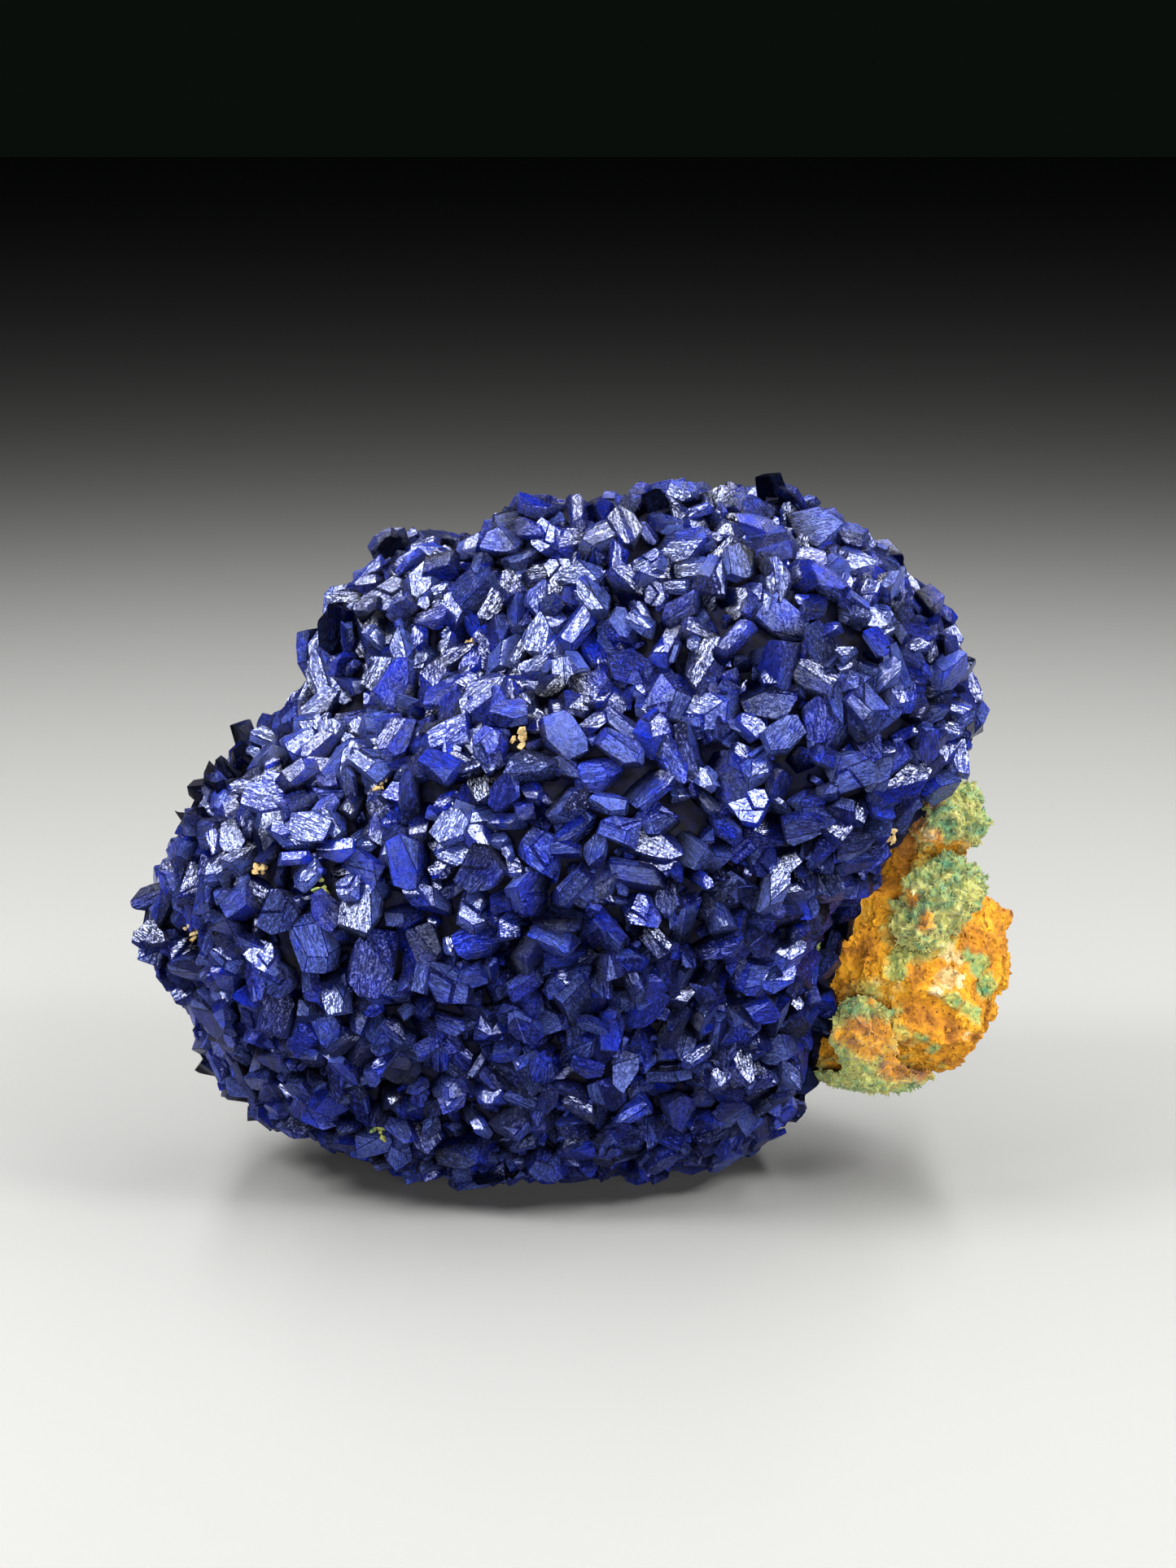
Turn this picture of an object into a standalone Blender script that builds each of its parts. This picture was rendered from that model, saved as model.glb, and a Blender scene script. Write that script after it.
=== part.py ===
"""Azurite specimen: a lobed mass of azurite crystals beside the knob of limonite that it grew on.

Lengths are in millimetres, and MM turns them to metres where they meet Blender. +X runs along the
specimen towards the limonite, +Y away from its best side and +Z up. The origin is the centre of the
bounding box's footprint, at the height of the surface that the specimen rests on.
"""

import math
import random

import bmesh
import bpy
from mathutils import Matrix, Vector, noise
from mathutils.bvhtree import BVHTree

MM = 0.001
SEED = 11
GAP = 0.4  # between two minerals, where one grew on the other
LOBE_SUBDIVISIONS = 4

# Azurite: rounded lobes that grew together, as (centre x, y, z), (radius x, y, z)
AZURITE_LOBES = (
    ((16.6, 2.0, 39.8), (18.6, 20.0, 17.6)),  # upper right dome
    ((11.0, 1.0, 50.4), (18.5, 13.0, 8.6)),  # crown
    ((-11.5, 9.0, 44.5), (10.5, 12.0, 9.5)),  # shoulder, set back
    ((-16.5, -1.0, 25.0), (18.2, 18.5, 15.8)),  # left lobe
    ((-32.0, 0.0, 21.5), (6.0, 8.0, 5.5)),  # left end
    ((-5.0, -2.0, 13.4), (26.5, 17.0, 13.0)),  # lower lobe
    ((-22.5, 2.0, 13.0), (9.5, 12.0, 7.5)),  # lower left corner
    ((1.0, -7.0, 30.0), (21.0, 17.0, 17.0)),  # front bulge
    ((11.5, 0.0, 15.2), (11.5, 16.0, 14.6)),  # flank beside the limonite
    ((4.0, 11.0, 30.0), (21.0, 14.5, 19.0)),  # back
    ((-2.0, 8.0, 14.0), (20.0, 13.0, 13.4)),  # heel
)
AZURITE_HEART = (0.0, 1.0, 29.0)  # every lobe's surface is seen from here
AZURITE_VOXEL = 1.6
AZURITE_SMOOTHING = 5

# Crystals, one to a cell of the azurite's skin
SITE_TRIES = 40000
SITE_REACH = 50.0  # half the width of the space that the sites are sought in
SITE_SPACING = (2.3, 4.6)
SHORTEST_EDGE = 0.7
CRYSTAL_RISE = (0.4, 0.72)  # of the cell's width
CRYSTAL_TILT_DEG = 22.0
TOP_CORNERS = (2, 2, 3, 4)  # two make a chisel edge
TOP_SIZE = (0.25, 0.55)  # of the cell's width
RIM = 0.1  # first step inward from a cell's rim, before its corners are gathered
LIMONITE_FADE = (1.0, 5.0)  # crystals dwindle over this distance from the limonite
SMALLEST_SHARE = 0.25  # of full size, for the crystals next to the limonite
BASE_CUT = 1.2  # depth of the flats worn on the lowest crystals

# Limonite: a knobbly stone
LIMONITE_LOBES = (
    ((30.5, -0.5, 17.0), (8.6, 9.0, 10.4)),  # main knob
    ((27.0, -1.0, 12.0), (7.0, 8.0, 5.5)),  # foot
    ((36.0, 0.0, 19.0), (4.6, 6.0, 6.0)),  # right ridge
    ((33.5, -6.5, 14.5), (4.0, 3.5, 4.0)),  # front lump
    ((31.5, -1.0, 26.5), (4.2, 5.5, 5.0)),  # neck
    ((33.0, -1.0, 31.0), (3.6, 4.2, 3.2)),  # head
    ((24.0, 1.0, 20.0), (6.0, 7.0, 10.0)),  # root, inside the azurite
)
LIMONITE_VOXEL = 0.8
LIMONITE_SMOOTHING = 2
LIMONITE_TRIANGLES = 1300
LUMP_SIZE = 3.0
LUMP_HEIGHT = 0.9

# Malachite: crusts on the limonite
MALACHITE_CRUSTS = {
    "malachite_cap": (((34.4, -3.0, 32.2), (3.0, 4.0, 2.8)), ((32.0, -3.6, 32.4), (2.6, 3.4, 2.6))),
    "malachite_cushion": (((33.2, -6.0, 26.0), (3.6, 3.2, 3.4)), ((31.2, -7.0, 23.2), (3.0, 3.2, 2.8))),
    "malachite_apron": (((26.6, -8.0, 13.5), (3.4, 3.0, 4.2)), ((27.6, -6.4, 9.0), (5.6, 4.4, 2.2))),
}
CRUST_VOXEL = 0.55
CRUST_SMOOTHING = 2
CRUST_TRIANGLES = 300
GRAIN_SIZE = 1.4
GRAIN_HEIGHT = 0.5

# Finishes: linear RGB and roughness
AZURITE_FINISH = ((0.01, 0.02, 0.3), 0.25)
LIMONITE_FINISH = ((0.62, 0.27, 0.03), 0.9)
MALACHITE_FINISH = ((0.13, 0.33, 0.16), 0.8)


def clear_scene():
    for obj in list(bpy.data.objects):
        bpy.data.objects.remove(obj)


def collection(name, hidden=False):
    made = bpy.data.collections.new(name)
    bpy.context.scene.collection.children.link(made)
    made.hide_render = hidden
    return made


def mineral(name, colour, roughness):
    """A dielectric material of one colour."""
    made = bpy.data.materials.new(name)
    made.use_nodes = True
    shader = made.node_tree.nodes["Principled BSDF"]
    shader.inputs["Base Color"].default_value = (*colour, 1.0)
    shader.inputs["Roughness"].default_value = roughness
    shader.inputs["Metallic"].default_value = 0.0
    return made


def object_from(name, builder, where):
    """An object whose mesh comes from a bmesh, which is freed."""
    mesh = bpy.data.meshes.new(name)
    builder.to_mesh(mesh)
    builder.free()
    made = bpy.data.objects.new(name, mesh)
    where.objects.link(made)
    return made


def apply_modifiers(obj):
    bpy.context.view_layer.update()
    graph = bpy.context.evaluated_depsgraph_get()
    mesh = bpy.data.meshes.new_from_object(obj.evaluated_get(graph))
    obj.modifiers.clear()
    obj.data = mesh


def skin_of(obj):
    """A tree for finding points on an object's mesh."""
    mesh = obj.data
    return BVHTree.FromPolygons([v.co for v in mesh.vertices], [p.vertices for p in mesh.polygons])


def lobed_body(name, lobes, voxel, smoothing, where):
    """Ellipsoids merged into one closed, softened skin."""
    builder = bmesh.new()
    for centre, radii in lobes:
        place = Matrix.Translation(Vector(centre) * MM) @ Matrix.Diagonal((*(Vector(radii) * MM), 1.0))
        bmesh.ops.create_icosphere(builder, subdivisions=LOBE_SUBDIVISIONS, radius=1.0, matrix=place)
    body = object_from(name, builder, where)
    remesh = body.modifiers.new("one_skin", "REMESH")
    remesh.mode = "VOXEL"
    remesh.voxel_size = voxel * MM
    soften = body.modifiers.new("soften", "SMOOTH")
    soften.iterations = smoothing
    apply_modifiers(body)
    return body


def roughen(body, size, height):
    """Raises lumps and sinks pits over a body: large ones, and others half as wide and as high."""
    for vert in body.data.vertices:
        where = vert.co / (size * MM)
        lump = noise.noise(where) + 0.5 * noise.noise(where * 2.0)
        vert.co += vert.normal * lump * height * MM
    body.data.update()


def thin_out(body, triangles):
    """Simplifies a body to about this many triangles."""
    body.data.calc_loop_triangles()
    simplify = body.modifiers.new("facets", "DECIMATE")
    simplify.ratio = min(1.0, triangles / len(body.data.loop_triangles))
    simplify.use_collapse_triangulate = True
    apply_modifiers(body)


def cut_away(body, neighbour, helpers):
    """Cuts a neighbour out of a body, with a gap left round it."""
    cutter = neighbour.copy()
    cutter.data = neighbour.data.copy()
    cutter.name = neighbour.name + "_cutter"
    cutter.display_type = "WIRE"
    cutter.hide_render = True
    helpers.objects.link(cutter)
    swell = cutter.modifiers.new("gap", "DISPLACE")
    swell.strength = GAP * MM
    swell.mid_level = 0.0
    cut = body.modifiers.new("cut", "BOOLEAN")
    cut.operation = "DIFFERENCE"
    cut.object = cutter
    apply_modifiers(body)


def pieces_of(builder):
    """A bmesh's vertices, in one set for each connected piece."""
    left = set(builder.verts)
    pieces = []
    while left:
        piece = {left.pop()}
        front = list(piece)
        while front:
            linked = {vert for edge in front.pop().link_edges for vert in edge.verts} & left
            left -= linked
            piece |= linked
            front.extend(linked)
        pieces.append(piece)
    return pieces


def drop_crumbs(body):
    """Keeps the largest of the pieces that a cut leaves."""
    builder = bmesh.new()
    builder.from_mesh(body.data)
    for crumb in sorted(pieces_of(builder), key=len)[:-1]:
        bmesh.ops.delete(builder, geom=list(crumb), context="VERTS")
    builder.to_mesh(body.data)
    builder.free()


def growth_sites(tree, heart, rng):
    """Points spread over a skin, each with room for its crystal."""
    sites = []
    for _ in range(SITE_TRIES):
        seed = heart + Vector([rng.uniform(-SITE_REACH, SITE_REACH) for _ in range(3)]) * MM
        point = tree.find_nearest(seed)[0]
        room = rng.uniform(*SITE_SPACING) * MM
        if all((point - other).length > (room + space) / 2 for other, space in sites):
            sites.append((point, room))
    return [point for point, _ in sites]


def crystal_cells(tree, heart, sites):
    """A closed skin of polygons, one round each site: the sites' Voronoi cells, seen from the heart."""
    hull = bmesh.new()
    for site in sites:
        hull.verts.new((site - heart).normalized())
    bmesh.ops.convex_hull(hull, input=hull.verts)
    hull.normal_update()
    builder = bmesh.new()
    corner_of = {}
    for face in hull.faces:
        outward = face.normal if face.normal.dot(face.calc_center_median()) > 0 else -face.normal
        corner_of[face] = builder.verts.new(tree.ray_cast(heart, outward)[0])
    for vert in hull.verts:
        across = vert.co.orthogonal().normalized()
        up = vert.co.cross(across)
        around = sorted(
            vert.link_faces,
            key=lambda f: math.atan2(f.calc_center_median().dot(up), f.calc_center_median().dot(across)),
        )
        builder.faces.new([corner_of[face] for face in around])
    hull.free()
    bmesh.ops.remove_doubles(builder, verts=builder.verts, dist=SHORTEST_EDGE * MM)
    bmesh.ops.recalc_face_normals(builder, faces=builder.faces)
    return builder


def share_by_bearing(corners, middle, across, up, count):
    """Shares a ring of corners out among equal sectors round its middle."""
    shares = {}
    for vert in corners:
        bearing = math.atan2((vert.co - middle).dot(up), (vert.co - middle).dot(across))
        shares.setdefault(int((bearing / math.tau + 0.5) * count) % count, []).append(vert)
    return shares


def crystal_share(distance):
    """How much of its full size a crystal has, by its distance from the limonite."""
    near, far = LIMONITE_FADE
    return min(1.0, max(SMALLEST_SHARE, (distance / MM - near) / (far - near)))


def raise_crystals(builder, limonite_tree, rng):
    """Lifts the middle of each cell and draws it together into a chisel edge or a small flat top."""
    cells = list(builder.faces)
    bmesh.ops.inset_individual(builder, faces=cells, thickness=RIM * MM, use_even_offset=False)
    weld = {}
    for cell in cells:
        middle = cell.calc_center_median()
        width = 2 * math.sqrt(cell.calc_area() / math.pi)
        width *= crystal_share(limonite_tree.find_nearest(middle)[3])
        axis = cell.normal.copy()
        across = axis.orthogonal().normalized()
        across.rotate(Matrix.Rotation(rng.uniform(0, math.tau), 3, axis))
        up = axis.cross(across)
        lean = Matrix.Rotation(math.radians(rng.uniform(-1, 1) * CRYSTAL_TILT_DEG), 3, across)
        top = middle + lean @ axis * width * rng.uniform(*CRYSTAL_RISE)
        long_side, short_side = (width * rng.uniform(*TOP_SIZE) for _ in range(2))
        count = rng.choice(TOP_CORNERS)
        for sector, corners in share_by_bearing(cell.verts, middle, across, up, count).items():
            bearing = ((sector + 0.5) / count - 0.5) * math.tau
            spread = across * math.cos(bearing) * long_side + up * math.sin(bearing) * short_side
            corners[0].co = top + lean @ spread
            weld.update({vert: corners[0] for vert in corners[1:]})
    bmesh.ops.weld_verts(builder, targetmap=weld)
    bmesh.ops.triangulate(builder, faces=builder.faces)
    bmesh.ops.recalc_face_normals(builder, faces=builder.faces)


def azurite(stone, crusts, helpers, where):
    """The crystal mass: cells over a lobed body, each drawn out into a crystal."""
    rng = random.Random(SEED)
    body = lobed_body("azurite_body", AZURITE_LOBES, AZURITE_VOXEL, AZURITE_SMOOTHING, helpers)
    body.hide_render = True
    tree = skin_of(body)
    heart = Vector(AZURITE_HEART) * MM
    builder = crystal_cells(tree, heart, growth_sites(tree, heart, rng))
    raise_crystals(builder, skin_of(stone), rng)
    mass = object_from("azurite_crystals", builder, where)
    for neighbour in (stone, *crusts):
        cut_away(mass, neighbour, helpers)
    drop_crumbs(mass)
    return mass


def limonite(where):
    stone = lobed_body("limonite_matrix", LIMONITE_LOBES, LIMONITE_VOXEL, LIMONITE_SMOOTHING, where)
    roughen(stone, LUMP_SIZE, LUMP_HEIGHT)
    thin_out(stone, LIMONITE_TRIANGLES)
    return stone


def malachite(name, lobes, where):
    crust = lobed_body(name, lobes, CRUST_VOXEL, CRUST_SMOOTHING, where)
    roughen(crust, GRAIN_SIZE, GRAIN_HEIGHT)
    thin_out(crust, CRUST_TRIANGLES)
    return crust


def wear_base_flat(mass):
    """Cuts the tips of the lowest crystals off in one plane, and returns its height."""
    builder = bmesh.new()
    builder.from_mesh(mass.data)
    base = min(v.co.z for v in builder.verts) + BASE_CUT * MM
    whole = builder.verts[:] + builder.edges[:] + builder.faces[:]
    cut = bmesh.ops.bisect_plane(
        builder, geom=whole, plane_co=(0, 0, base), plane_no=(0, 0, -1), clear_outer=True
    )
    rims = [item for item in cut["geom_cut"] if isinstance(item, bmesh.types.BMEdge)]
    bmesh.ops.holes_fill(builder, edges=rims)
    bmesh.ops.triangulate(builder, faces=builder.faces)
    bmesh.ops.recalc_face_normals(builder, faces=builder.faces)
    builder.to_mesh(mass.data)
    builder.free()
    return base


def stand_at_origin(pieces, base):
    """Moves every piece so that the footprint's centre and the base are at the origin."""
    points = [v.co for piece in pieces for v in piece.data.vertices]
    middle = [(min(p[i] for p in points) + max(p[i] for p in points)) / 2 for i in range(2)]
    for piece in pieces:
        piece.data.transform(Matrix.Translation((-middle[0], -middle[1], -base)))


def main():
    clear_scene()
    specimen = collection("azurite_specimen")
    helpers = collection("helpers", hidden=True)
    stone = limonite(specimen)
    crusts = [malachite(name, lobes, specimen) for name, lobes in MALACHITE_CRUSTS.items()]
    mass = azurite(stone, crusts, helpers, specimen)
    for crust in crusts:
        cut_away(crust, stone, helpers)
        drop_crumbs(crust)
    base = wear_base_flat(mass)
    stand_at_origin([mass, stone, *crusts], base)
    mass.data.materials.append(mineral("azurite", *AZURITE_FINISH))
    stone.data.materials.append(mineral("limonite", *LIMONITE_FINISH))
    for crust in crusts:
        crust.data.materials.append(mineral("malachite", *MALACHITE_FINISH))


main()
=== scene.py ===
import math
import random

import bmesh
import bpy
import numpy as np
from mathutils import Matrix, Vector, noise
from mathutils.bvhtree import BVHTree


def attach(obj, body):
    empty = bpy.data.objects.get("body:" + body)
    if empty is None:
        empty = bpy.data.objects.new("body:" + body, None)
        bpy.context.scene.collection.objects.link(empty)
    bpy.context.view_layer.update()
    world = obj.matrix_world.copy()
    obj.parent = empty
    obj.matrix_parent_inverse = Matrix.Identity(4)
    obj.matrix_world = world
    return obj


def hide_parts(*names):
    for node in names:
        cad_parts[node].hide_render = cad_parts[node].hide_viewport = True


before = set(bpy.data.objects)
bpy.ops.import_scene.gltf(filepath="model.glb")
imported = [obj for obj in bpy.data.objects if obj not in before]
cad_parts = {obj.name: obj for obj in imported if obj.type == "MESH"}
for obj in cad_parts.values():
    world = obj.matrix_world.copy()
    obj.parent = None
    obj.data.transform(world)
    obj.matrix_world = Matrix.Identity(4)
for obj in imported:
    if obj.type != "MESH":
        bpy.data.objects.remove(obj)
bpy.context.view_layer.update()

mm = 0.001


def linearColour(hexCode):  # sRGB hex to the linear numbers that a socket holds
    parts = [int(hexCode[i:i + 2], 16) / 255 for i in (1, 3, 5)]
    return (*[p / 12.92 if p <= 0.04045 else ((p + 0.055) / 1.055) ** 2.4 for p in parts], 1.0)


def addNode(tree, kind, settings=None, links=None):  # a colour ramp's stops are (place, hex)
    node = tree.nodes.new("ShaderNode" + kind)
    for key, value in (settings or {}).items():
        if key == "stops":
            for _ in value[2:]:  # a new ramp has two
                node.color_ramp.elements.new(1.0)
            for element, (place, hexCode) in zip(node.color_ramp.elements, value):
                element.position, element.color = place, linearColour(hexCode)
        elif isinstance(key, str) and hasattr(node, key):
            setattr(node, key, value)
        else:
            node.inputs[key].default_value = value
    linkTo(tree, node, links or {})
    return node


def linkTo(tree, node, links):  # each from a socket, or from a node's first one
    for key, source in links.items():
        tree.links.new(getattr(source, "outputs", [source])[0], node.inputs[key])


def startMaterial(name):
    material = bpy.data.materials.new(name)
    material.use_nodes = True
    return material, material.node_tree, material.node_tree.nodes["Principled BSDF"]


def deselect():
    if bpy.context.mode != "OBJECT":
        bpy.ops.object.mode_set(mode="OBJECT")
    bpy.ops.object.select_all(action="DESELECT")


def makeActive(obj):
    deselect()
    obj.select_set(True)
    bpy.context.view_layer.objects.active = obj


def applyModifier(obj, kind, settings):
    makeActive(obj)
    modifier = obj.modifiers.new(kind.title(), kind)
    for key, value in settings.items():
        setattr(modifier, key, value)
    bpy.ops.object.modifier_apply(modifier=modifier.name)


def copyOfNode(node, name):  # a CAD node's own shape, with its loose triangles merged
    obj = bpy.data.objects.new(name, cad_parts[node].data.copy())
    bpy.context.scene.collection.objects.link(obj)
    makeActive(obj)
    bpy.ops.object.mode_set(mode="EDIT")
    bpy.ops.mesh.select_all(action="SELECT")
    bpy.ops.mesh.remove_doubles(threshold=0.01 * mm)
    bpy.ops.object.mode_set(mode="OBJECT")
    obj.data.materials.clear()
    for attribute in [a.name for a in obj.data.attributes if a.name.startswith("custom")]:
        obj.data.attributes.remove(obj.data.attributes[attribute])
    return obj


def treeOf(*meshes):  # for finding what is near, or in a line of sight
    points, faces = [], []
    for mesh in meshes:
        start = len(points)
        points += [v.co for v in mesh.vertices]
        faces += [[i + start for i in p.vertices] for p in mesh.polygons]
    return BVHTree.FromPolygons(points, faces)


def pointsOf(obj, what="co"):
    points = np.empty(len(obj.data.vertices) * 3)
    obj.data.vertices.foreach_get(what, points)
    return points.reshape(-1, 3)


def writePoints(obj, points):
    obj.data.vertices.foreach_set("co", points.ravel())
    obj.data.update()


def writeShare(obj, label, values):
    attribute = obj.data.attributes.new(label, "FLOAT", "POINT")
    attribute.data.foreach_set("value", np.clip(values, 0, 1))


def finishPiece(obj, material, slot, *nodes):
    obj.data.materials.append(material)
    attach(obj, "root")
    if nodes:
        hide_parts(*nodes)


camera = {"elevation": 12.0, "distance": 300 * mm, "lens": 76.2, "target": (1.25 * mm, 0.0, 35.4 * mm),
          "near": 0.01, "frame": (1445, 1927)}  # the frame is in pixels


def addCamera():
    up = math.radians(camera["elevation"])
    back = Vector((0.0, -math.cos(up), math.sin(up)))
    bpy.ops.object.camera_add(location=Vector(camera["target"]) + back * camera["distance"])
    obj = bpy.context.object
    obj.name = "camera"
    obj.rotation_euler = (-back).to_track_quat("-Z", "Y").to_euler()
    obj.data.lens = camera["lens"]
    obj.data.clip_start = camera["near"]
    bpy.context.scene.camera = obj
    return obj


def throughPixel(x, y):  # the camera's place, and the line of sight through one pixel of the frame
    wide, high = camera["frame"]
    focal = cameraObj.data.lens / cameraObj.data.sensor_width * high
    turn = cameraObj.rotation_euler.to_matrix()
    return cameraObj.location, (turn @ Vector((x - wide / 2, high / 2 - y, -focal))).normalized()


# a strip above each side, a long low softbox in front, and at the left and right a small lamp for the glints
light = {
    "stripLeft": {"place": (-0.11, 0.04, 0.22), "aim": (-0.11, 0.04, 0), "size": (0.035, 0.5), "power": 1.8},
    "stripRight": {"place": (0.11, 0.04, 0.22), "aim": (0.11, 0.04, 0), "size": (0.035, 0.5), "power": 1.95},
    "front": {"place": (0.05, -0.5, 0.065), "aim": (0.0, 0.0, 0.03), "size": (1.4, 0.12), "power": 9.3},
    "left": {"place": (-0.26, -0.1, 0.28), "aim": (0.0, 0.0, 0.03), "size": (0.12, 0.12), "power": 2.3},
    "right": {"place": (0.28, -0.16, 0.3), "aim": (0.0, 0.0, 0.03), "size": (0.11, 0.11), "power": 2.25},
}
stage = {"floorSize": 8.0, "floorColour": "#6b6b69", "floorRoughness": 0.7, "worldColour": "#0a0f0c"}


def buildStage():
    deselect()
    bpy.ops.mesh.primitive_plane_add(size=stage["floorSize"], location=(0.0, 0.0, 0.0))
    floor = bpy.context.object
    floor.name = "floor"
    material, tree, shader = startMaterial("paleFloor")  # matt card: no grain shows
    shader.inputs["Base Color"].default_value = linearColour(stage["floorColour"])
    shader.inputs["Roughness"].default_value = stage["floorRoughness"]
    floor.data.materials.append(material)
    for name, lamp in light.items():
        place = Vector(lamp["place"])
        bpy.ops.object.light_add(type="AREA", location=place)
        obj = bpy.context.object
        obj.name = name + "Softbox"
        obj.data.shape = "RECTANGLE"
        obj.data.size, obj.data.size_y = lamp["size"]
        obj.data.energy = lamp["power"]
        obj.rotation_euler = (Vector(lamp["aim"]) - place).to_track_quat("-Z", "Y").to_euler()
    world = bpy.data.worlds.new("studio")
    world.use_nodes = True
    world.node_tree.nodes["Background"].inputs["Color"].default_value = linearColour(stage["worldColour"])
    bpy.context.scene.world = world
    bpy.context.scene.view_settings.view_transform = "Standard"


# A crystal is a block, a unit long, cut down to flat faces that touch an ellipsoid. The half lengths go
# along, across and through it. A cut is the way that its face looks, and how much of the ellipsoid's reach
# it leaves. Where a number has a range, one is drawn from it.
crystalShapes = {
    "seed": 3, "large": 40, "small": 16, "breadth": (0.85, 1.15), "thickness": (0.75, 1.3),
    "habits": {
        "plate": {"half": (0.5, 0.37, 0.12), "rim": (5, 6), "slant": 0.7, "terraced": 0.5,
                  "cuts": (((-0.06, 0.06), (-0.12, 0.12), 1.0, 0.92),)},
        "boat": {"half": (0.5, 0.27, 0.17), "rim": (5, 6), "slant": 0.7,  # a roof above and a keel below
                 "cuts": (((-0.1, 0.1), (-0.25, -0.6), 1.0, (0.8, 0.95)),
                          ((-0.1, 0.1), (-0.2, -0.7), -1.0, (0.8, 0.95)),
                          ((-0.1, 0.1), (0.25, 0.6), 1.0, (0.8, 0.95)),
                          ((-0.1, 0.1), (0.2, 0.7), -1.0, (0.8, 0.95)))},
        "wedge": {"half": (0.5, 0.33, 0.22), "rim": (4, 5), "slant": 0.8, "terraced": 0.5,
                  "cuts": (((-0.1, 0.1), (0.3, 0.7), 1.0, 0.75), ((0.2, 0.6), (-0.3, 0.3), 1.0, 0.93))},
        "block": {"half": (0.5, 0.33, 0.24), "rim": (4, 5), "slant": 0.5,
                  "cuts": (((-0.1, 0.1), (-0.15, 0.15), 1.0, (0.6, 0.85)),
                           ((-0.4, 0.4), (-0.6, 0.6), 1.0, (0.82, 1.0)))},
    },
    "rim": {"uneven": 0.35, "narrow": 0.8, "share": (0.72, 1.0)},
    "terrace": {"edge": (-0.12, 0.16), "step": (0.03, 0.06), "slope": 0.6},
    "weld": 0.015, "flat": 3, "bevel": 0.013,  # flat is in degrees
    "topSlope": 0.4,  # a face that looks at least this much upwards can be its top
}


def drawn(rng, value):  # a number out of a range, or the number itself
    return rng.uniform(*value) if isinstance(value, tuple) else value


def editMesh():
    return bmesh.from_edit_mesh(bpy.context.object.data)


def cutCrystal(normal, place, clear=True):
    bpy.ops.mesh.select_all(action="SELECT")
    bpy.ops.mesh.bisect(plane_co=place, plane_no=normal, use_fill=clear, clear_outer=clear)


def cutToSize(x, y, z, half, share):  # a flat face square to x, y, z
    normal = Vector((x, y, z)).normalized()
    reach = Vector([n * h for n, h in zip(normal, half)]).length
    cutCrystal(normal, normal * reach * share)


def cutRim(rng, half, count, slant):
    rim = crystalShapes["rim"]
    start = rng.uniform(0, math.tau)
    for i in range(count):
        around = start + (i + rng.uniform(-rim["uneven"], rim["uneven"])) * math.tau / count
        cutToSize(math.cos(around), math.sin(around) * half[0] / half[1] * rim["narrow"],
                  rng.uniform(-slant, slant), half, drawn(rng, rim["share"]))


def raiseTerrace(rng):  # part of the broadest face grown one step higher
    terrace = crystalShapes["terrace"]
    side = Vector((rng.uniform(-1, 1), rng.uniform(-1, 1), 0.0)).normalized()
    cutCrystal(side, side * drawn(rng, terrace["edge"]), clear=False)
    bpy.ops.mesh.select_all(action="DESELECT")
    bpy.ops.mesh.select_mode(type="FACE")
    mesh = editMesh()
    flat = [f for f in mesh.faces if f.normal.z > terrace["slope"] and f.calc_center_median().dot(side) > 0]
    if flat:
        broadest = max(flat, key=lambda f: f.calc_area())
        broadest.select = True
        bmesh.update_edit_mesh(bpy.context.object.data)
        bpy.ops.mesh.inset(thickness=drawn(rng, terrace["step"]), depth=drawn(rng, terrace["step"]))


def shapeFrom(obj, level=False):  # the object in edit mode as plain arrays, centred, its broadest top level
    bpy.ops.mesh.select_all(action="SELECT")
    bpy.ops.mesh.normals_make_consistent(inside=False)
    bpy.ops.object.mode_set(mode="OBJECT")
    mesh = obj.data
    middle = sum((v.co for v in mesh.vertices), Vector()) / len(mesh.vertices)
    turn = Matrix.Identity(3)
    if level:
        tops = [p for p in mesh.polygons if p.normal.z > crystalShapes["topSlope"]]
        turn = max(tops, key=lambda p: p.area).normal.rotation_difference(Vector((0, 0, 1))).to_matrix()
    points = np.array([turn @ (v.co - middle) for v in mesh.vertices])
    faces = [tuple(p.vertices) for p in mesh.polygons]
    areas = np.array([p.area for p in mesh.polygons])
    bpy.data.objects.remove(obj)
    return {"points": points, "faces": faces, "areas": areas}


def modelCrystal(rng, name, bevelled):
    habit = crystalShapes["habits"][name]
    long, broad, thin = habit["half"]
    half = (long, broad * drawn(rng, crystalShapes["breadth"]), thin * drawn(rng, crystalShapes["thickness"]))
    deselect()
    bpy.ops.mesh.primitive_cube_add(size=1.0)
    obj = bpy.context.object
    bpy.ops.object.mode_set(mode="EDIT")
    bpy.ops.transform.resize(value=[2.0 * h for h in half])
    for x, y, z, share in habit["cuts"]:
        cutToSize(drawn(rng, x), drawn(rng, y), z, half, drawn(rng, share))
    cutRim(rng, half, rng.randint(*habit["rim"]), habit["slant"])
    if bevelled and "terraced" in habit and rng.random() < habit["terraced"]:
        raiseTerrace(rng)
    bpy.ops.mesh.select_mode(type="VERT")
    bpy.ops.mesh.select_all(action="SELECT")
    bpy.ops.mesh.remove_doubles(threshold=crystalShapes["weld"])
    bpy.ops.mesh.dissolve_limited(angle_limit=math.radians(crystalShapes["flat"]))
    if bevelled:
        bpy.ops.mesh.select_all(action="SELECT")
        bpy.ops.mesh.bevel(offset=crystalShapes["bevel"], segments=1)
    return shapeFrom(obj, level=True)


patternSpread = 50  # mm between the patterns of two crystals, at most

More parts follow.
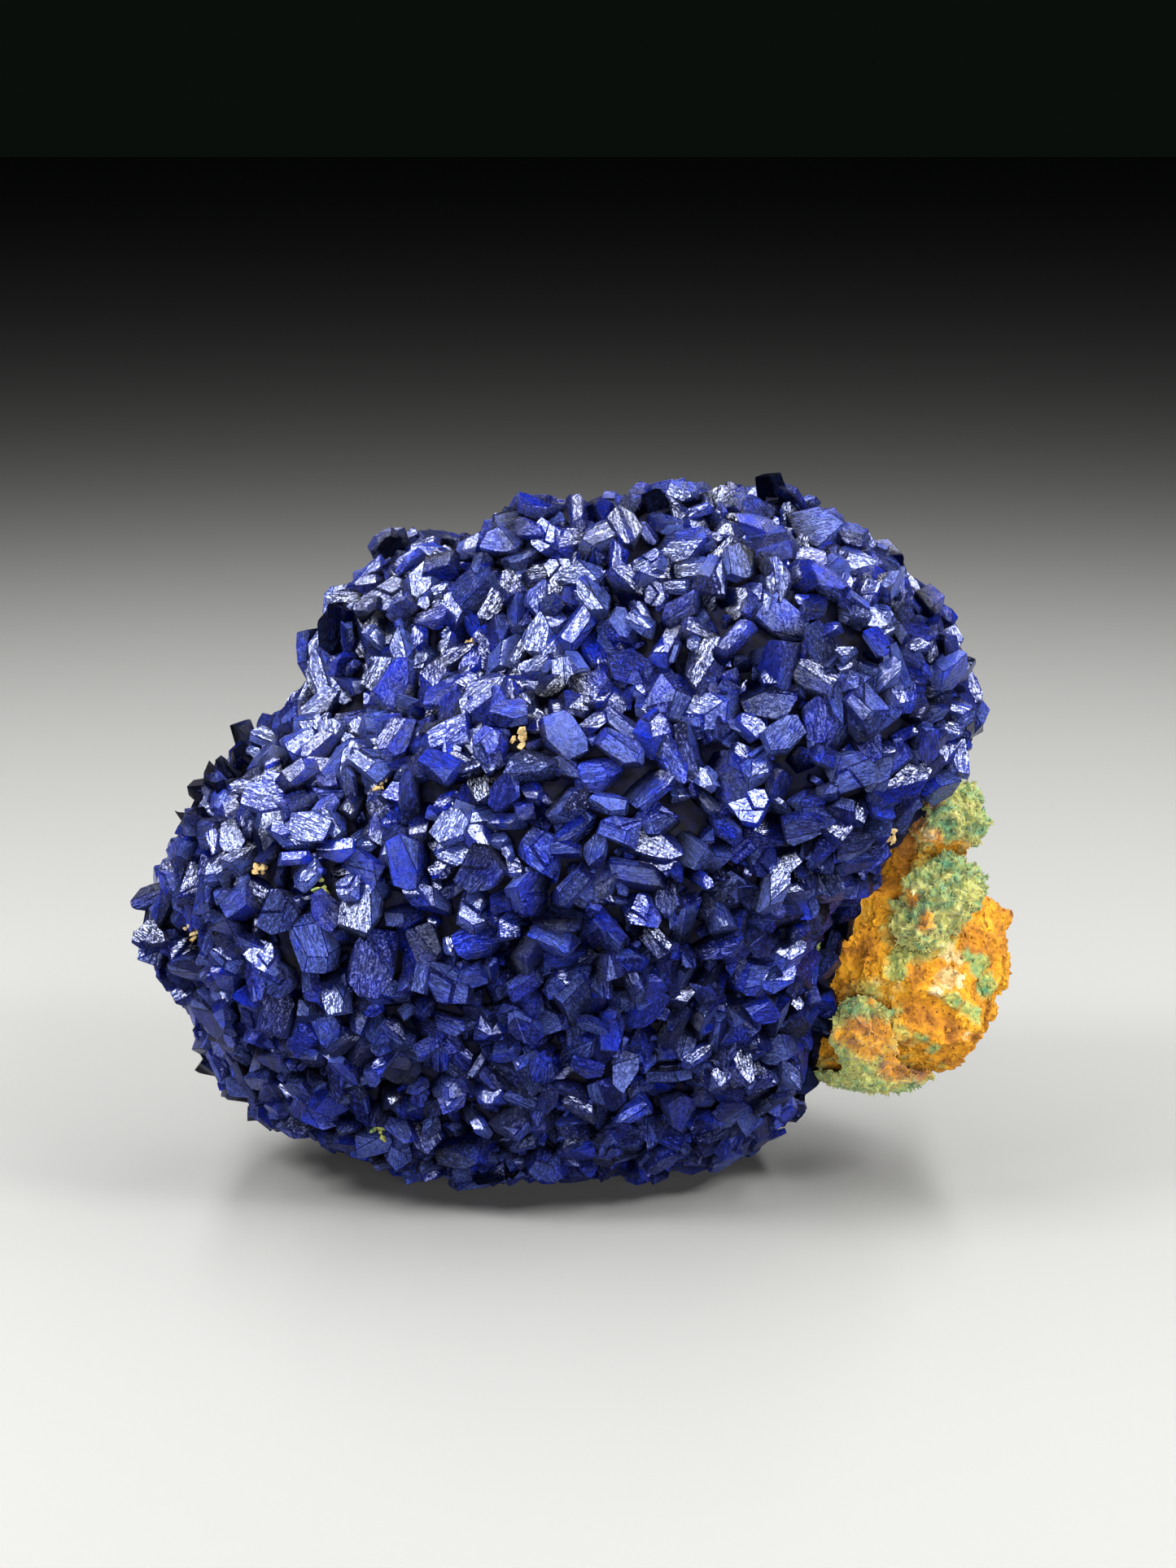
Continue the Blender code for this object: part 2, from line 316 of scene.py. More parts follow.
druse = {
    "seed": 5,
    "groundVoxel": 0.9 * mm, "groundSmooth": {"iterations": 12, "factor": 0.6}, "groundSink": 1.3 * mm,
    "skirtShare": 0.2, "skirtThickness": 0.4 * mm,
    # where the ground stands higher or lower: place, radius and height in mm
    "swells": (((-5, 0, 61), 9, 3.6), ((-9, 0, 58), 6, 1.2), ((23, -2, 60), 6, 2.0), ((-32, 0, 8), 9, 2.2),
               ((-27, -2, 43), 7, 1.2), ((-34, -3, 37), 9, -3.4), ((-37, 6, 38), 8, -2.6),
               ((34, -3, 37), 6, -2.2)),
    # one layer of crystals after another: length in mm, the room each keeps round it as a share of its
    # length, how high its top comes above the ground in mm, how far it leans in degrees, and how many
    # places are tried
    "layers": (
        {"size": "large", "length": (3.4, 5.6), "room": 0.49, "rise": (1.5, 2.6), "lean": 46, "tries": 20000},
        {"size": "large", "length": (2.5, 4.2), "room": 0.42, "rise": (1.0, 2.2), "lean": 60, "tries": 36000},
        {"size": "small", "length": (1.4, 2.6), "room": 0.46, "rise": (0.6, 1.5), "lean": 90, "tries": 50000},
    ),
    "leanPower": 0.8,  # below 1, more of them lean far
    "low": {"below": 17 * mm, "sizing": 0.85, "rise": 0.3},  # smaller ones on the receding lower front
    "twins": {"share": 0.25, "slip": 0.35, "sink": -0.15, "length": (0.6, 0.9)},  # grown parallel to the last
    # a share has its broad face turned to throw a lamp's light forwards, where that face then looks enough
    # outwards and the lamp stands high enough over the ground; waves and finish are for the material
    "flashing": {"share": 0.72, "outwards": 0.4, "lampHeight": 0.18, "waves": 0.1, "finish": (0.05, 0.6),
                 "lamps": ("left", "left", "stripLeft", "stripRight", "right")},
    # low down, crystals are painted darker, duller and teal up to this many mm from the matrix: painted shade
    # where the azurite turns away beside it, with a teal tint
    "matrixTint": {"below": 34 * mm, "reach": 5, "share": (0.3, 1.0)},
    "exposed": {"large": 2.2 * mm, "small": 1.5 * mm},  # how high above the ground the painted shade at a crystal's foot reaches
    # how the finish differs from face to face, and the area up to which a face is only an edge
    "finishSeed": 8, "finishes": 0.9, "edge": 0.02,
    "pieces": 6,
    # how far towards the matrix crystals stand and their tips reach, and the outline at the left, all in mm
    "margin": {"height": (9, 18, 24, 29, 33, 36, 39), "reach": (21.5, 23.0, 24.4, 25.5, 26.8, 28.5, 40.0)},
    "tips": {"height": (11, 14, 18, 22.5, 25, 27, 30, 32, 33.5, 34.6, 37.1, 40),
             "reach": (23.8, 24.0, 25.0, 25.3, 27.2, 27.8, 28.4, 28.5, 30.3, 31.4, 33.7, 45)},
    "tipsFront": 3 * mm,  # further back the tips are free
    "left": {"height": (20, 27.3, 30.8, 34.3, 36.6, 40.6, 43, 45.8, 48.1, 52.8, 55.4, 60),
             "reach": (-60, -37.8, -36.5, -34.4, -32.7, -29.6, -28.8, -26.0, -25.2, -23.6, -21.0, -60)},
    # past the margin: how near the matrix one may stand in mm, and the place before it that stays free
    "clear": 1.0, "free": {"right": 24 * mm, "front": 4 * mm, "below": 38 * mm},
}


def atHeight(label, z):  # one of the druse's limits at a height, in mm
    return np.interp(z / mm, druse[label]["height"], druse[label]["reach"])


def groundOfAzurite():  # what the crystals stand on
    obj = copyOfNode("azurite_crystals", "azuriteGround")
    applyModifier(obj, "REMESH", {"mode": "VOXEL", "voxel_size": druse["groundVoxel"]})
    applyModifier(obj, "SMOOTH", druse["groundSmooth"])
    applyModifier(obj, "DISPLACE", {"strength": -druse["groundSink"], "mid_level": 0.0})
    points = pointsOf(obj)
    for place, radius, height in druse["swells"]:
        away = points - np.array(place) * mm
        far = np.linalg.norm(away, axis=1) / (radius * mm)
        points += pointsOf(obj, "normal") * (np.clip(1 - far ** 2, 0, 1) ** 2 * height * mm)[:, None]
    writePoints(obj, points)
    return obj


def modelSkirt(limoniteObj):  # a shell over the part of the matrix that crystals cover, as a bed for them; it takes the ground's near-black painted shade
    makeActive(limoniteObj)
    bpy.ops.object.duplicate()
    obj = bpy.context.object
    obj.name = "azuriteSkirt"
    obj.data.materials.clear()
    bpy.ops.object.mode_set(mode="EDIT")
    bpy.ops.mesh.select_mode(type="FACE")
    bpy.ops.mesh.select_all(action="DESELECT")
    for face in editMesh().faces:
        centre = face.calc_center_median()
        face.select = not centre.x / mm < atHeight("margin", centre.z)
    bmesh.update_edit_mesh(obj.data)
    bpy.ops.mesh.delete(type="FACE")
    bpy.ops.object.mode_set(mode="OBJECT")
    applyModifier(obj, "DECIMATE", {"ratio": druse["skirtShare"]})
    applyModifier(obj, "SOLIDIFY", {"thickness": druse["skirtThickness"], "offset": 1.0})
    return obj


def placesOn(meshes, rng, count):  # points spread evenly over surfaces, each with the way it faces
    corners = []
    for mesh in meshes:
        mesh.calc_loop_triangles()
        corners += [[mesh.vertices[i].co for i in t.vertices] for t in mesh.loop_triangles]
    corners = np.array(corners)
    across = np.cross(corners[:, 1] - corners[:, 0], corners[:, 2] - corners[:, 0])
    areas = np.linalg.norm(across, axis=1)
    picks = rng.choice(len(areas), size=count, p=areas / areas.sum())
    u, v = rng.random(count), rng.random(count)
    over = u + v > 1
    u[over], v[over] = 1 - u[over], 1 - v[over]
    a, b, c = corners[picks, 0], corners[picks, 1], corners[picks, 2]
    points = a + (b - a) * u[:, None] + (c - a) * v[:, None]
    return points, across[picks] / areas[picks, None]


def flashOf(eye, place, lamp):  # the way a face looks that throws a lamp's light to the eye
    return ((eye - place).normalized() + (Vector(light[lamp]["place"]) - place).normalized()).normalized()


def facingAxes(face, along):  # a crystal's axes, from its broad face and roughly its length
    along = (along - face * along.dot(face)).normalized()
    return Matrix((along, face.cross(along), face)).transposed()


def leaningAxes(normal, lean, leanTo, turn):
    across = normal.orthogonal().normalized()
    across.rotate(Matrix.Rotation(leanTo, 3, normal))
    upright = Matrix.Rotation(lean, 3, across) @ normal
    side = upright.orthogonal().normalized()
    side.rotate(Matrix.Rotation(turn, 3, upright))
    return Matrix((side, upright.cross(side), upright)).transposed()


def topOf(shape, axes, length, normal):  # how far a crystal reaches along normal from its middle
    return (shape["points"] @ np.array(axes).T @ np.array(normal)).max() * length


# places taken so far, sorted into cells that are wider than any crystal's room
cell = 4.0 * mm
taken = {}


def isFree(point, room):
    i, j, k = (point // cell).astype(int)
    for x in (i - 1, i, i + 1):
        for y in (j - 1, j, j + 1):
            for z in (k - 1, k, k + 1):
                for other, space in taken.get((x, y, z), ()):
                    if ((point - other) ** 2).sum() < ((room + space) / 2) ** 2:
                        return False
    return True


def takePlace(point, room):
    taken.setdefault(tuple((point // cell).astype(int)), []).append((point, room))


def joinCrystals(name, crystals, rng):  # many placed crystals in one mesh
    points, faces, local, tones, exposed, finish = [], [], [], [], [], []
    start = 0
    for crystal in crystals:
        shape = crystal["shape"]
        here = shape["points"] @ np.array(crystal["axes"]).T * crystal["length"] + np.array(crystal["centre"])
        here[:, 2] = np.maximum(here[:, 2], 0.0)
        points.append(here)
        local.append(shape["points"] * crystal["length"] / mm + crystal["offset"])
        tones.append(np.repeat(crystal["tone"][None], len(here), 0))
        # each point's height over its foot, for the painted shade near the foot
        full = crystal.get("depth", druse["exposed"]["large"])
        exposed.append((here - crystal["foot"]) @ crystal["up"] / full)
        faces += [tuple(i + start for i in face) for face in shape["faces"]]
        chosen = rng.random(len(shape["areas"])) * druse["finishes"]
        if crystal.get("finish") is not None:
            chosen[:] = crystal["finish"]
        finish.append(np.where(shape["areas"] > druse["edge"], chosen, 1.0))
        start += len(here)
    mesh = bpy.data.meshes.new(name)
    mesh.from_pydata(np.concatenate(points), [], faces)
    for label, kind, domain, values in (
        ("grown", "FLOAT_VECTOR", "POINT", local), ("tone", "FLOAT_VECTOR", "POINT", tones),
        ("exposed", "FLOAT", "POINT", exposed), ("finish", "FLOAT", "FACE", finish),
    ):
        attribute = mesh.attributes.new(label, kind, domain)
        attribute.data.foreach_set("vector" if "VECTOR" in kind else "value", np.concatenate(values).ravel())
    mesh.update()
    obj = bpy.data.objects.new(name, mesh)
    bpy.context.scene.collection.objects.link(obj)
    return obj


specks = {
    "seed": 2, "grains": 9, "length": (0.4, 0.9), "room": 1.9 * mm, "spread": 0.6 * mm, "rise": 0.9 * mm,
    "lean": 1.5, "shade": 0.3, "paleness": 0.8,  # the lean is in radians
    # pixel across and down, and 1 where green
    "spots": ((585, 805, 0), (510, 830, 0), (330, 1070, 0), (248, 1145, 0), (645, 915, 0), (1085, 1025, 0),
              (478, 975, 0), (1000, 1165, 1), (475, 1380, 1), (402, 1095, 1), (1000, 1188, 1)),
    # pixel across and down, and room in mm, left empty so that the ground's painted shade shows
    "pits": ((840, 1010, 3.4), (1040, 790, 3.0), (560, 1130, 2.8)),
}


def modelSpecks(shapes):  # grains of ochre and malachite caught between the crystals
    numbers = np.random.default_rng(specks["seed"])
    placed, greens = [], []
    for x, y, green in specks["spots"]:
        hit, up = groundTree.ray_cast(*throughPixel(x, y))[:2]
        if hit is None:
            print("no ground behind", x, y)
            continue
        takePlace(np.array(hit), specks["room"])
        for _ in range(specks["grains"]):
            axes = leaningAxes(up, numbers.uniform(0, specks["lean"]), numbers.uniform(0, math.tau),
                               numbers.uniform(0, math.tau))
            aside = axes @ Vector(numbers.uniform(-1, 1, 3)) * specks["spread"]
            placed.append({"shape": shapes[numbers.integers(len(shapes))], "axes": axes,
                           "length": numbers.uniform(*specks["length"]) * mm,
                           "tone": numbers.random(3) * specks["shade"],
                           "centre": hit + up * specks["rise"] + aside,
                           "offset": numbers.uniform(0, patternSpread, 3),
                           "foot": np.array(hit), "up": np.array(up)})
            greens.append(np.full(len(placed[-1]["shape"]["points"]), float(green)))
    for x, y, room in specks["pits"]:
        takePlace(np.array(groundTree.ray_cast(*throughPixel(x, y))[0]), room * mm)
    obj = joinCrystals("azuriteSpecks", placed, numbers)
    greens = np.concatenate(greens)
    writeShare(obj, "green", greens)
    writeShare(obj, "pale", specks["paleness"] * (1 - greens))
    return obj


def crowdsMatrix(point, near):  # past the margin, where the limonite and malachite show
    x, y, z = point
    free = druse["free"]
    return not x / mm < atHeight("margin", z) and (
        near < druse["clear"] or z < free["below"] and x > free["right"] and y < free["front"])


def staysIn(shape, axes, length, centre):  # its tips keep to the left outline and the border at the right
    leftmost = centre.x - topOf(shape, axes, length, (-1, 0, 0))
    rightmost = centre.x + topOf(shape, axes, length, (1, 0, 0))
    return leftmost / mm > atHeight("left", centre.z) and (
        centre.y > druse["tipsFront"] or rightmost / mm < atHeight("tips", centre.z))


def growCrystals(beds):
    numbers = np.random.default_rng(druse["seed"])
    flashes, twins, low, nearMatrix = [druse[key] for key in ("flashing", "twins", "low", "matrixTint")]
    grown = []
    for layer in druse["layers"]:
        points, normals = placesOn(beds, numbers, layer["tries"])
        group = shapes[layer["size"]]
        for point, normal in zip(points, normals):
            near = matrixTree.find_nearest(Vector(point))[3] / mm
            if crowdsMatrix(point, near):
                continue
            sizing = low["sizing"] if point[2] < low["below"] and point[1] < 0 else 1.0
            length = numbers.uniform(*layer["length"]) * sizing * mm
            room = length * layer["room"]
            if not isFree(point, room):
                continue
            shape = group[numbers.integers(len(group))]
            up = Vector(normal)
            axes = leaningAxes(up, math.radians(layer["lean"]) * numbers.uniform(0, 1) ** druse["leanPower"],
                               numbers.uniform(0, math.tau), numbers.uniform(0, math.tau))
            lamp = flashes["lamps"][numbers.integers(len(flashes["lamps"]))]
            lampHeight = (Vector(light[lamp]["place"]) - Vector(point)).normalized().dot(up)
            flash = flashOf(cameraObj.location, Vector(point), lamp)
            flashing = (numbers.random() < flashes["share"] and flash.dot(up) > flashes["outwards"]
                        and lampHeight > flashes["lampHeight"])
            if flashing:
                axes = facingAxes(flash, axes.col[0])
            rise = numbers.uniform(*layer["rise"]) * mm * (low["rise"] + (1 - low["rise"]) * sizing)
            centre = Vector(point) + up * (rise - topOf(shape, axes, length, up))
            if not staysIn(shape, axes, length, centre):
                continue
            takePlace(point, room)
            matrixTint = 0.0
            if point[2] < nearMatrix["below"]:
                matrixTint = max(0.0, 1.0 - near / nearMatrix["reach"]) * numbers.uniform(*nearMatrix["share"])
            tone = (numbers.random(), matrixTint, flashes["waves"] if flashing else numbers.random())
            grown.append({"shape": shape, "axes": axes, "centre": centre, "length": length,
                          "tone": np.array(tone), "offset": numbers.uniform(0, patternSpread, 3),
                          "foot": point, "up": normal, "depth": druse["exposed"][layer["size"]],
                          "finish": numbers.uniform(*flashes["finish"]) if flashing else None})
            if layer["size"] == "large" and numbers.random() < twins["share"]:
                slip = Vector((numbers.uniform(-twins["slip"], twins["slip"]),
                               numbers.uniform(-twins["slip"], twins["slip"]), twins["sink"]))
                twin = grown[-1] | {"centre": centre + axes @ slip * length,
                                    "length": length * numbers.uniform(*twins["length"]),
                                    "shape": group[numbers.integers(len(group))]}
                if staysIn(twin["shape"], axes, twin["length"], twin["centre"]):
                    grown.append(twin)
    return grown


# Each has the pixel that its middle covers, its length in mm, its habit, its turn in degrees as the camera
# sees it, how far up and how far round its broad face looks in degrees, and its finish. Where None stands,
# the broad face throws a lamp's light to the camera, or each face's finish is drawn.
known = {
    "seed": 4, "rise": 2.3 * mm, "room": 0.75, "lamp": "stripLeft", "waves": 0.5,
    "grazing": 0.35,  # keeps one at the outline from going far off
    "crystals": (
        ((697, 909), 5.4, "plate", -40, (32, 5), None),
        ((764, 894), 4.4, "boat", -40, (35, 20), None),
        ((765, 922), 4.6, "boat", -35, (25, 0), None),
        ((738, 954), 4.0, "wedge", 0, (25, -10), None),
        ((746, 988), 3.8, "boat", -5, (30, 0), None),
        ((694, 985), 4.0, "wedge", 30, (30, 25), None),
        ((658, 944), 4.6, "block", -20, None, 0.95),
        ((624, 972), 4.0, "block", 80, (15, -10), None),
        ((762, 1018), 3.6, "wedge", -20, (25, 10), None),
        ((667, 1043), 4.7, "plate", -45, (30, -10), 0.5),
        ((592, 1064), 5.0, "plate", 55, (20, -15), 0.45),
        ((826, 935), 4.6, "boat", -65, (30, 10), None),
        ((855, 933), 5.2, "plate", -80, (20, 75), None),
        ((797, 970), 5.2, "plate", 70, None, 0.5),
        ((732, 1044), 3.3, "boat", 80, (20, 0), None),
        ((858, 1078), 3.2, "boat", -45, None, 0.3),
        ((828, 1068), 2.8, "boat", -60, None, 0.3),
        ((388, 1162), 5.4, "wedge", -70, (8, -25), 0.4),
        ((464, 1172), 6.0, "plate", 80, (6, 10), 0.45),
        ((402, 1122), 4.0, "block", -60, (20, 10), None),
        ((344, 1117), 4.7, "plate", 60, (15, -20), 0.8),
        ((511, 1187), 4.3, "wedge", 75, (10, -20), None),
        ((310, 1330), 4.6, "plate", 5, (-5, -10), 0.1),
        ((400, 1368), 4.2, "block", -20, (0, 0), 0.2),
        ((435, 890), 5.0, "boat", 12, (35, -10), 0.3),
        ((965, 775), 5.2, "block", -40, (25, 10), 0.1),
        ((965, 900), 4.6, "plate", 50, (25, 20), 0.4),
        ((1000, 650), 5.0, "plate", 20, (40, 10), 0.4),
        ((780, 822), 4.8, "wedge", -20, (30, -10), None),
        ((590, 1152), 4.6, "plate", 15, (25, 0), 0.6),
        ((480, 730), 4.8, "plate", 30, None, 0.2),
        ((370, 952), 3.8, "wedge", 50, None, 0.2),
        ((490, 975), 2.8, "wedge", -30, None, 0.2),
        ((553, 985), 2.8, "wedge", 40, None, 0.3),
        ((905, 785), 4.6, "boat", 60, None, 0.6),
        ((1020, 775), 2.4, "block", 0, None, 0.2),
        ((1085, 885), 3.8, "boat", 50, None, 0.5),
        ((620, 1105), 2.8, "block", 20, None, 0.3),
        ((365, 1055), 3.2, "boat", -10, None, 0.2),
        ((1010, 1185), 3.6, "wedge", 60, None, 0.9),
        ((945, 1200), 4.2, "boat", 60, None, 0.6),
        ((800, 690), 3.4, "plate", 10, None, 0.5),
        ((860, 665), 3.4, "plate", 15, None, 0.4),
        ((500, 700), 3.0, "wedge", -50, None, 0.3),
        ((530, 760), 3.2, "plate", 20, (55, -35), 0.3),
        ((455, 745), 3.0, "wedge", 50, (50, -30), 0.3),
    ),
}


def placeKnown():  # the crystals that can be told apart, set one by one
    numbers = np.random.default_rng(known["seed"])
    view = cameraObj.rotation_euler.to_matrix()
    grown = []
    for pixel, size, habit, turned, looks, finish in known["crystals"]:
        eye, sight = throughPixel(*pixel)
        hit, up = groundTree.ray_cast(eye, sight)[:2]
        if hit is None:
            print("no ground behind", pixel)
            continue
        if looks is None:
            waves = druse["flashing"]["waves"]
            face = flashOf(eye, hit, known["lamp"])
        else:
            waves = known["waves"]
            high, around = [math.radians(a) for a in looks]
            face = Vector((math.sin(around) * math.cos(high), -math.cos(around) * math.cos(high),
                           math.sin(high)))
        angle = math.radians(turned)
        axes = facingAxes(face, view @ Vector((math.cos(angle), math.sin(angle), 0.0)))
        shape = shapes[habit][numbers.integers(len(shapes[habit]))]
        length = size * mm
        back = (known["rise"] - topOf(shape, axes, length, up)) / max(known["grazing"], -sight.dot(up))
        takePlace(np.array(hit), length * known["room"])
        grown.append({"shape": shape, "axes": axes, "centre": hit - sight * back, "length": length,
                      "tone": np.array((numbers.random(), 0.0, waves)),
                      "offset": numbers.uniform(0, patternSpread, 3),
                      "foot": np.array(hit), "up": np.array(up), "finish": finish})
    return grown


def azuriteMaterial():
    # Azurite, grown as glassy crystals: deep blue under a painted violet-grey sheen, the reflection of the
    # floor and lamps painted into the base colour, and white where a broad face throws a lamp's light. Faces
    # are finely ridged along the crystal and cracked, and some are etched to winding pits. Shade is painted
    # in towards each crystal's foot.
    # The attribute grown is the place inside the crystal in mm, so scales here are per mm.
    material, tree, shader = startMaterial("azuriteCrystal")
    grown = addNode(tree, "Attribute", {"attribute_name": "grown"}).outputs["Vector"]
    tone = addNode(tree, "Attribute", {"attribute_name": "tone"}).outputs["Vector"]
    tones = addNode(tree, "SeparateXYZ", None, {0: tone})
    finish = addNode(tree, "Attribute", {"attribute_name": "finish"}).outputs["Fac"]
    # growth zones 2 mm wide, darker and lighter from crystal to crystal
    zones = addNode(tree, "TexNoise", {"Scale": 0.5, "Detail": 3.0}, {"Vector": grown})
    mixed = addNode(tree, "Math", {"operation": "MULTIPLY_ADD", 1: 1.5}, {0: zones, 2: tones.outputs["X"]})
    shade = addNode(tree, "Math", {"operation": "MULTIPLY", 1: 0.4}, {0: mixed})
    blue = addNode(tree, "ValToRGB", {"stops": ((0.3, "#010a44"), (0.5, "#03137a"), (0.7, "#0822a6"))},
                   {"Fac": shade})
    # painted sheen: a violet-grey that stands in for the reflection of the floor and lamps, in clouds 1.4 mm
    # wide that differ from face to face
    clouds = addNode(tree, "TexNoise",
                     {"Scale": 0.7, "Detail": 6.0, "Roughness": 0.62, "Distortion": 0.4}, {"Vector": grown})
    mixedUp = addNode(tree, "Math", {"operation": "MULTIPLY", 1: 7.3}, {0: finish})
    lot = addNode(tree, "Math", {"operation": "FRACT"}, {0: mixedUp})
    facing = addNode(tree, "Math", {"operation": "MULTIPLY_ADD", 1: 0.5}, {0: lot, 2: clouds})
    paintedSheen = addNode(tree, "MapRange", {"From Min": 0.58, "From Max": 0.95, "To Max": 0.9},
                    {"Value": facing})
    sheenPaintedBlue = addNode(tree, "MixRGB", {"Color2": linearColour("#2c376a")}, {"Fac": paintedSheen, "Color1": blue})
    # darker teal near the matrix: painted shade with a teal tint
    matrixTint = addNode(tree, "MixRGB", {"Color2": linearColour("#06142a")},
                        {"Fac": tones.outputs["Y"], "Color1": sheenPaintedBlue})
    # ridges 0.3 mm apart that run along the crystal, a grain of 0.45 mm, and a net of 0.6 mm for hairlines
    stretched = addNode(tree, "VectorMath", {"operation": "MULTIPLY", 1: (0.6, 3.0, 4.0)}, {0: grown})
    ridges = addNode(tree, "TexNoise",
                     {"Scale": 1.0, "Detail": 4.0, "Roughness": 0.65, "Distortion": 0.8},
                     {"Vector": stretched})
    grain = addNode(tree, "TexNoise", {"Scale": 2.2, "Detail": 4.0, "Roughness": 0.65}, {"Vector": grown})
    net = addNode(tree, "TexNoise",
                  {"Scale": 1.6, "Detail": 5.0, "Roughness": 0.7, "Distortion": 1.5},
                  {"Vector": grown})
    lines = []  # 0 along the winding lines where a noise is at its middle, 1 off them
    for source, width in ((ridges, 0.05), (grain, 0.09), (net, 0.03)):
        off = addNode(tree, "Math", {"operation": "SUBTRACT", 1: 0.5}, {0: source})
        away = addNode(tree, "Math", {"operation": "ABSOLUTE"}, {0: off})
        lines.append(addNode(tree, "MapRange", {"From Max": width}, {"Value": away}))
    # the smoothest faces have no cracks, and only the roughest are pitted as well
    crackShare = addNode(tree, "MapRange",
                         {"From Min": 0.05, "From Max": 0.3, "To Min": 1.0, "To Max": 0.3}, {"Value": finish})
    pitShare = addNode(tree, "MapRange",
                       {"From Min": 0.6, "From Max": 0.85, "To Min": 1.0, "To Max": 0.1}, {"Value": finish})
    cracked = addNode(tree, "Math", {"operation": "MAXIMUM"}, {0: lines[0], 1: crackShare})
    pitted = addNode(tree, "Math", {"operation": "MAXIMUM"}, {0: lines[1], 1: pitShare})
    hairlines = addNode(tree, "MapRange", {"To Min": 0.45}, {"Value": lines[2]})
    broken = addNode(tree, "Math", {"operation": "MULTIPLY"}, {0: cracked, 1: pitted})
    whole = addNode(tree, "Math", {"operation": "MULTIPLY"}, {0: broken, 1: hairlines})
    waves = addNode(tree, "Math", {"operation": "ADD"}, {0: ridges, 1: grain})
    waveShare = addNode(tree, "MapRange",
                        {"From Min": 0.1, "From Max": 0.6, "To Min": 0.03, "To Max": 0.6},
                        {"Value": tones.outputs["Z"]})
    height = addNode(tree, "Math", {"operation": "MULTIPLY_ADD"}, {0: waves, 1: waveShare, 2: whole})
    bump = addNode(tree, "Bump", {"Strength": 1.0, "Distance": 0.12 * mm}, {"Height": height})
    # painted shade: colour and shine are darkened towards each crystal's foot, deep between the crystals
    exposed = addNode(tree, "Attribute", {"attribute_name": "exposed"}).outputs["Fac"]
    depth = addNode(tree, "MapRange", {"From Min": 0.2, "From Max": 0.9, "To Min": 0.06},
                    {"Value": exposed})
    clear = addNode(tree, "MapRange", {"To Min": 0.04}, {"Value": whole})
    dark = addNode(tree, "Math", {"operation": "MULTIPLY"}, {0: clear, 1: depth})
    # each face is lighter or darker at random
    faceShare = addNode(tree, "MapRange", {"To Min": 0.35, "To Max": 1.65}, {"Value": lot})
    dim = addNode(tree, "Math", {"operation": "MULTIPLY"}, {0: dark, 1: faceShare})
    veined = addNode(tree, "MixRGB", {"blend_type": "MULTIPLY", "Fac": 1.0},
                     {"Color1": matrixTint, "Color2": dim})
    # glassy where it stands free; duller near the matrix low down and deep down, where the painted shade
    # lowers the shine too
    gloss = addNode(tree, "MapRange", {"To Min": 0.12, "To Max": 0.28}, {"Value": tones.outputs["Z"]})
    dulled = addNode(tree, "MapRange", {"To Min": 0.24, "To Max": 0.08}, {"Value": tones.outputs["Y"]})
    reached = addNode(tree, "MapRange", {"From Min": 0.1, "From Max": 0.5, "To Min": 0.05},
                      {"Value": exposed})
    lit = addNode(tree, "Math", {"operation": "MULTIPLY"}, {0: clear, 1: reached})
    shine = addNode(tree, "Math", {"operation": "MULTIPLY"}, {0: lit, 1: dulled})
    linkTo(tree, shader, {"Base Color": veined, "Roughness": gloss, "Specular IOR Level": shine,
                          "Normal": bump})
    shader.inputs["Specular Tint"].default_value = linearColour("#ccd6ff")
    shader.inputs["IOR"].default_value = 1.84
    return material


def groundMaterial():
    # Azurite, massive: the dull mass between the crystals, blotched about every millimetre. Its near-black
    # colour is painted shade for the gaps between the crystals.
    material, tree, shader = startMaterial("azuriteMassInShade")
    place = addNode(tree, "TexCoord").outputs["Object"]
    blotch = addNode(tree, "TexNoise", {"Scale": 900.0, "Detail": 3.0}, {"Vector": place})
    colour = addNode(tree, "ValToRGB", {"stops": ((0.35, "#000004"), (0.7, "#02031c"))}, {"Fac": blotch})
    bump = addNode(tree, "Bump", {"Strength": 0.8, "Distance": 0.3 * mm}, {"Height": blotch})
    linkTo(tree, shader, {"Base Color": colour, "Normal": bump})
    shader.inputs["Roughness"].default_value = 0.8
    shader.inputs["Specular IOR Level"].default_value = 0.1
    return material


# of each kind of roughness: size across and up, how high it stands, and below what height it is found, in mm
stone = {
    "seed": 12, "voxel": 0.2 * mm, "smooth": 4, "sink": 0.45 * mm,
    "rough": ({"size": (3.2, 3.2), "height": 0.7}, {"size": (1.2, 1.2), "height": 0.4},
              {"size": (0.5, 0.5), "height": 0.22}, {"size": (3.0, 0.5), "height": 0.6, "below": 14}),
    "fade": 2 * mm, "foot": {"below": 11 * mm, "undercut": 0.3},  # for the crusts as well
    "grains": {"count": 2600, "length": (0.3, 0.9), "lean": 90, "stand": -0.1},
    "greenReach": 1.6 * mm, "stainCore": 1.5, "bareLimit": 1.1,
}
crusts = {
    "seed": 6, "voxel": 0.16 * mm, "smooth": 3, "sink": 0.3 * mm, "flatSink": 0.6 * mm,
    "nodes": {"malachite_cap": 1.0, "malachite_cushion": 1.0, "malachite_apron": 0.45},  # how lumpy each is
    "rough": ({"size": (2.6, 2.6), "height": 0.8}, {"size": (1.1, 1.1), "height": 0.7},
              {"size": (0.5, 0.5), "height": 0.4}, {"size": (0.3, 0.3), "height": 0.25},
              {"size": (3.0, 0.5), "height": 0.5, "below": 14}),
    "tufts": {"count": 700, "length": (0.3, 0.75), "lean": 50, "stand": 0.12}, "tuftKinds": 8,
    # a tuft is one upright needle with others round it, all in tuft lengths
    "upright": {"radius1": 0.16, "radius2": 0.05, "depth": 1.0},
    "needles": {"count": 5, "length": (0.5, 0.9), "spread": 0.9, "foot": 0.4,
                "radius1": 0.14, "radius2": 0.04},
    "clear": 0.3 * mm, "ochreReach": 1.0 * mm, "greenest": 1.2,
}
